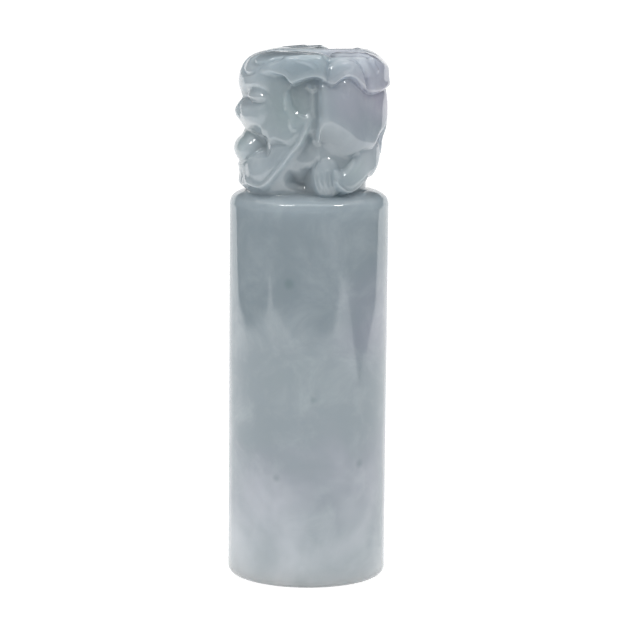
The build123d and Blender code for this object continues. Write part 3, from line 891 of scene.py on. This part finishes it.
def hand_finish_group():
    """The unevenness that hand grinding and polishing leave: a height and a roughness."""
    tree, given, made = new_group(
        "hand_finish",
        [
            ("Waves", "NodeSocketFloat", 1.0),
            ("Scratches", "NodeSocketFloat", 0.0),
            ("Roughness", "NodeSocketFloat", 0.1),
            ("Unevenness", "NodeSocketFloat", 0.1),
        ],
        [("Height", "NodeSocketFloat"), ("Roughness", "NodeSocketFloat")],
    )
    place = place_in_stone(tree)

    def marks(rates, detail):
        at = add_node(tree, "ShaderNodeVectorMath", {0: place, 1: rates}, operation="MULTIPLY").outputs[0]
        return noise(tree, at, scale=1.0, detail=detail)

    waves = marks(WAVE_RATES, detail=1.0)
    scratches = marks(SCRATCH_RATES, detail=4.0)
    height = maths(tree, "MULTIPLY", waves, given.outputs["Waves"])
    height = maths(tree, "MULTIPLY_ADD", scratches, given.outputs["Scratches"], height)
    tree.links.new(height, made.inputs["Height"])
    dull = noise(tree, place, scale=0.7, detail=3.0)
    roughness = maths(tree, "MULTIPLY_ADD", dull, given.outputs["Unevenness"], given.outputs["Roughness"])
    tree.links.new(roughness, made.inputs["Roughness"])
    return tree


# How deep red, green and blue light go into the stone, against each other
LIGHT_DEPTHS = (1.0, 1.05, 1.1)


def shared_group(name, make):
    """A node group that is made the first time it is asked for."""
    return bpy.data.node_groups.get(name) or make()


def jade_material(name, colours, waves, scratches, roughness, unevenness, bump):
    """A jadeite finish: clouded, translucent stone with a painted glow of floor light low on the stick,
    and the marks of its last grinding or polishing.
    """
    material = bpy.data.materials.new(name)
    material.use_nodes = True
    tree = material.node_tree
    shader = tree.nodes["Principled BSDF"]
    clouds_and_glow = shared_group("jade_clouds_and_glow", jade_colour_group)
    inputs = {label: (*getattr(colours, label.lower()), 1) for label in STONE_COLOURS}
    # The stone's clouds of colour, with the painted glow of floor light on the lower stick
    colour_and_glow = add_node(tree, "ShaderNodeGroup", inputs, node_tree=clouds_and_glow)
    finish = shared_group("hand_finish", hand_finish_group)
    inputs = {"Waves": waves, "Scratches": scratches, "Roughness": roughness, "Unevenness": unevenness}
    marks = add_node(tree, "ShaderNodeGroup", inputs, node_tree=finish)
    normal = add_node(tree, "ShaderNodeBump", {"Height": marks.outputs["Height"], "Distance": bump})
    tree.links.new(colour_and_glow.outputs["Color"], shader.inputs["Base Color"])
    tree.links.new(marks.outputs["Roughness"], shader.inputs["Roughness"])
    tree.links.new(normal.outputs["Normal"], shader.inputs["Normal"])
    shader.inputs["IOR"].default_value = colours.refraction
    shader.inputs["Subsurface Weight"].default_value = 1.0
    shader.inputs["Subsurface Radius"].default_value = LIGHT_DEPTHS
    shader.inputs["Subsurface Scale"].default_value = colours.light_depth
    return material


class SealStoneSizes(bpy.types.PropertyGroup):
    """The worked edges of the stick."""

    foot_rounding: bpy.props.FloatProperty(
        name="Foot rounding",
        description="Rounding of the foot's edge",
        default=0.8 * MM,
        unit="LENGTH",
        precision=5,
    )


class SealStoneColours(bpy.types.PropertyGroup):
    """The stone's colours, its polish and how deep light goes into it."""

    ground: bpy.props.FloatVectorProperty(
        name="Ground",
        description="The stone's main colour",
        default=(0.272, 0.322, 0.352),
        subtype="COLOR",
    )
    lavender: bpy.props.FloatVectorProperty(
        name="Lavender",
        description="Colour of the lavender clouds",
        default=(0.36, 0.355, 0.43),
        subtype="COLOR",
    )
    green: bpy.props.FloatVectorProperty(
        name="Green",
        description="Colour of the green-grey clouds",
        default=(0.275, 0.35, 0.35),
        subtype="COLOR",
    )
    # The pale colour also paints the glow of floor light on the lower stick
    cotton: bpy.props.FloatVectorProperty(
        name="Cotton",
        description="Colour of the fine pale clouds",
        default=(0.56, 0.6, 0.63),
        subtype="COLOR",
    )
    speck: bpy.props.FloatVectorProperty(
        name="Speck",
        description="Colour of the dark specks",
        default=(0.16, 0.225, 0.23),
        subtype="COLOR",
    )
    refraction: bpy.props.FloatProperty(
        name="Refraction", description="Index of refraction of jadeite", default=1.66
    )
    light_depth: bpy.props.FloatProperty(
        name="Light depth",
        description="How far light goes into the stone",
        default=6.5 * MM,
        unit="LENGTH",
        precision=5,
    )
    polish: bpy.props.FloatProperty(
        name="Polish roughness",
        description="Roughness of the polished stone",
        default=0.05,
        subtype="FACTOR",
    )


class SealStageLooks(bpy.types.PropertyGroup):
    """The floor, the lamps and the camera."""

    floor_colour: bpy.props.FloatVectorProperty(
        name="Floor", description="Colour of the floor", default=(0.9, 0.9, 0.9), subtype="COLOR"
    )
    sky_level: bpy.props.FloatProperty(
        name="Surrounding light", description="Strength of the even light from all round", default=0.7
    )
    lamp_power: bpy.props.FloatProperty(
        name="Lamp power", description="Power of each main lamp", default=0.7, unit="POWER"
    )
    lens: bpy.props.FloatProperty(
        name="Lens", description="The camera's focal length in millimetres", default=160.2
    )


class SEAL_OT_carve_stone(bpy.types.Operator):
    """Carves the stick and the beast at its top, and polishes them"""

    bl_idname = "seal.carve_stone"
    bl_label = "Carve the stone"

    def execute(self, context):
        mesh = carved_stone_mesh(context.scene.seal_sizes.foot_rounding / MM)
        stone = bpy.data.objects.new("carved_stone", mesh)
        context.collection.objects.link(stone)
        colours = context.scene.seal_colours
        polished = jade_material(
            "polished_jadeite",
            colours,
            waves=1.0,
            scratches=0.0,
            roughness=colours.polish,
            unevenness=0.06,
            bump=0.09 * MM,
        )
        mesh.materials.append(polished)
        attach(stone, "root")
        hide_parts(*STONE_NODES)
        return {"FINISHED"}


class SEAL_OT_grind_face(bpy.types.Operator):
    """Gives the blank stamping face its flat ground finish"""

    bl_idname = "seal.grind_face"
    bl_label = "Grind the stamping face"

    def execute(self, context):
        ground = jade_material(
            "ground_jadeite",
            context.scene.seal_colours,
            waves=0.2,
            scratches=0.6,
            roughness=0.42,
            unevenness=0.15,
            bump=0.02 * MM,
        )
        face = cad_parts["stamp_face"]
        face.data.materials.clear()
        face.data.materials.append(ground)
        return {"FINISHED"}


# The stage's white, the floor's width in metres, and the glow and the grey that the floor shows
WHITE = (1, 1, 1, 1)
FLOOR_WIDTH = 6.0
FLOOR_GLOW = 0.82
FLOOR_GREY = (0.45, 0.45, 0.45, 1)

# The lamps: a name, a place and a width in metres, and a share of the lamps' power
LAMPS = (
    ("left_lamp", (-0.22, -0.24, 0.42), 0.13, 1.0),
    ("right_lamp", (0.25, -0.16, 0.40), 0.07, 0.7),
    ("top_lamp", (0.0, 0.12, 0.5), 0.4, 0.3),
)


def white_seen(tree, seen, lit):
    """Shows one shader to the camera, reflections and glass, and another to the light on the stone."""
    path = add_node(tree, "ShaderNodeLightPath").outputs
    any_seen = maths(tree, "MAXIMUM", path["Is Camera Ray"], path["Is Glossy Ray"])
    any_seen = maths(tree, "MAXIMUM", any_seen, path["Is Transmission Ray"])
    return add_node(tree, "ShaderNodeMixShader", {0: any_seen, 1: lit, 2: seen}).outputs[0]


class SEAL_OT_set_stage(bpy.types.Operator):
    """Sets the floor, the lamps, the surrounding light and the camera"""

    bl_idname = "seal.set_stage"
    bl_label = "Set the stage"

    def execute(self, context):
        looks = context.scene.seal_stage
        self.lay_floor(context, looks)
        self.hang_lamps(context, looks)
        self.light_world(context, looks)
        self.stand_camera(context, looks)
        context.scene.view_settings.view_transform = "Standard"
        return {"FINISHED"}

    def lay_floor(self, context, looks):
        """A white floor that keeps the shadow, and the dark card."""
        floor = self.sheet(context, "floor", FLOOR_WIDTH)
        material = bpy.data.materials.new("floor_white")
        material.use_nodes = True
        tree = material.node_tree
        tree.nodes.clear()
        matt = add_node(tree, "ShaderNodeBsdfDiffuse", {"Color": (*looks.floor_colour, 1)}).outputs[0]
        white = add_node(tree, "ShaderNodeEmission", {"Color": WHITE, "Strength": FLOOR_GLOW}).outputs[0]
        soft = add_node(tree, "ShaderNodeBsdfDiffuse", {"Color": FLOOR_GREY}).outputs[0]
        both = add_node(tree, "ShaderNodeAddShader", {0: soft, 1: white}).outputs[0]
        out = add_node(tree, "ShaderNodeOutputMaterial")
        tree.links.new(white_seen(tree, both, matt), out.inputs["Surface"])
        floor.data.materials.append(material)
        card = self.front_card(context)
        dark = bpy.data.materials.new("card_grey")
        dark.use_nodes = True
        shader = dark.node_tree.nodes["Principled BSDF"]
        shader.inputs["Base Color"].default_value = CARD_COLOUR
        shader.inputs["Roughness"].default_value = CARD_ROUGHNESS
        card.data.materials.append(dark)

    def front_card(self, context):
        """A dark card curved round the stone, with a ragged lower edge, that only reflections see."""
        bearings = np.arange(CARD_EDGE[0][0], CARD_EDGE[-1][0] + 1, CARD_STEP)
        lower = smooth_curve(bearings, CARD_EDGE)
        points = []
        for bearing, height in zip(np.radians(bearings), lower):
            for level in (max(height, 0), CARD_TOP):
                points.append((CARD_REACH * math.sin(bearing), -CARD_REACH * math.cos(bearing), level))
        faces = [(n, n + 2, n + 3, n + 1) for n in range(0, len(points) - 2, 2)]
        mesh = bpy.data.meshes.new("front_card")
        mesh.from_pydata([tuple(v * MM for v in point) for point in points], [], faces)
        card = bpy.data.objects.new("front_card", mesh)
        context.collection.objects.link(card)
        card.visible_camera = False
        card.visible_diffuse = False
        card.visible_shadow = False
        return card

    def sheet(self, context, name, width):
        """A level square sheet under the stone."""
        mesh = bpy.data.meshes.new(name)
        corners = [(i * width / 2, j * width / 2, 0) for i, j in ((-1, -1), (1, -1), (1, 1), (-1, 1))]
        mesh.from_pydata(corners, [], [(0, 1, 2, 3)])
        sheet = bpy.data.objects.new(name, mesh)
        context.collection.objects.link(sheet)
        return sheet

    def hang_lamps(self, context, looks):
        """Two lamps in front of the stone and one over it."""
        for name, place, width, power in LAMPS:
            light = bpy.data.lights.new(name, "AREA")
            light.energy = looks.lamp_power * power
            light.size = width
            lamp = bpy.data.objects.new(name, light)
            lamp.location = place
            aim = Vector((0, 0, SHOULDER * MM)) - lamp.location
            lamp.rotation_euler = aim.to_track_quat("-Z", "Y").to_euler()
            context.collection.objects.link(lamp)

    def light_world(self, context, looks):
        """Even light from all round, which is plain white where it is seen."""
        world = bpy.data.worlds.new("studio")
        world.use_nodes = True
        tree = world.node_tree
        tree.nodes.clear()
        seen = add_node(tree, "ShaderNodeBackground", {"Color": WHITE, "Strength": 1.0}).outputs[0]
        even = {"Color": WHITE, "Strength": looks.sky_level}
        lit = add_node(tree, "ShaderNodeBackground", even).outputs[0]
        out = add_node(tree, "ShaderNodeOutputWorld")
        tree.links.new(white_seen(tree, seen, lit), out.inputs["Surface"])
        context.scene.world = world

    def stand_camera(self, context, looks):
        """A camera at the photograph's angle, above the stone and a little to its right."""
        data = bpy.data.cameras.new("camera")
        data.lens = looks.lens
        camera = bpy.data.objects.new("camera", data)
        camera.location = CAMERA_PLACE
        camera.rotation_euler = (math.pi / 2 - CAMERA_DIP, -CAMERA_ROLL, 0)
        context.collection.objects.link(camera)
        context.scene.camera = camera


class SEAL_PT_panel(bpy.types.Panel):
    """The seal's sizes, colours and steps"""

    bl_label = "Seal stamp"
    bl_space_type = "VIEW_3D"
    bl_region_type = "UI"
    bl_category = "Seal stamp"

    def draw(self, context):
        scene = context.scene
        for group in (scene.seal_sizes, scene.seal_colours, scene.seal_stage):
            box = self.layout.box()
            for name in group.__annotations__:
                box.prop(group, name)
        for operator in OPERATORS:
            self.layout.operator(operator.bl_idname)


OPERATORS = (SEAL_OT_carve_stone, SEAL_OT_grind_face, SEAL_OT_set_stage)
GROUPS = {"seal_sizes": SealStoneSizes, "seal_colours": SealStoneColours, "seal_stage": SealStageLooks}
CLASSES = (*GROUPS.values(), *OPERATORS, SEAL_PT_panel)


def register():
    for cls in CLASSES:
        bpy.utils.register_class(cls)
    for name, group in GROUPS.items():
        setattr(bpy.types.Scene, name, bpy.props.PointerProperty(type=group))


def unregister():
    for name in GROUPS:
        delattr(bpy.types.Scene, name)
    for cls in reversed(CLASSES):
        bpy.utils.unregister_class(cls)


def main():
    register()
    bpy.ops.seal.carve_stone()
    bpy.ops.seal.grind_face()
    bpy.ops.seal.set_stage()


if __name__ == "__main__":
    main()
